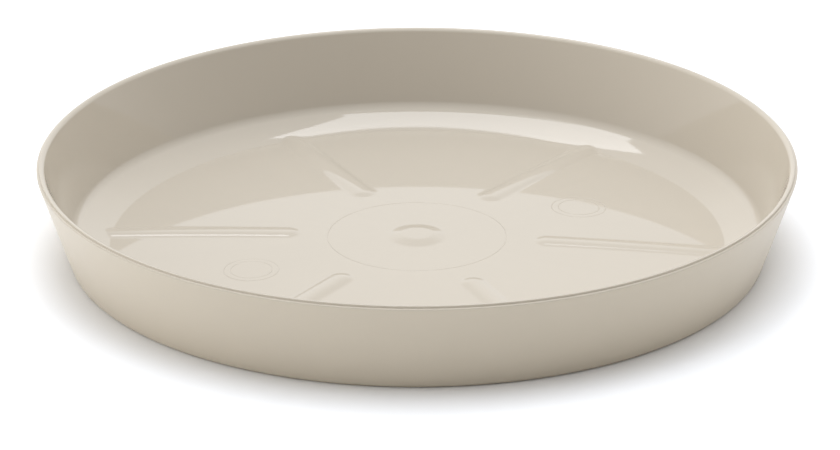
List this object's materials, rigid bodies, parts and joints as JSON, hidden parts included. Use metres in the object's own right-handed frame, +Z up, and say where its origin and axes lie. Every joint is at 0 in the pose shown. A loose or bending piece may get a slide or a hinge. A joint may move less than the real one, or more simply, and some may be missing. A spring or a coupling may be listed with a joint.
{
  "type": "plant saucer",
  "caption": "Round one-piece plastic plant saucer with a flared wall, stepped rim, crowned floor inside a sloped ring, raised radial beads and a central gate button.",
  "frame": {"origin": "on the ground under the centre of the saucer", "axes": "+Z up along the saucer's centre line, +X along the first bead"},
  "size_m": [0.3, 0.3, 0.0384],
  "materials": {
    "moulded_plastic": "gloss inside, satin outside"
  },
  "bodies": {
    "root": {"saucer": "moulded_plastic"}
  },
  "joints": []
}
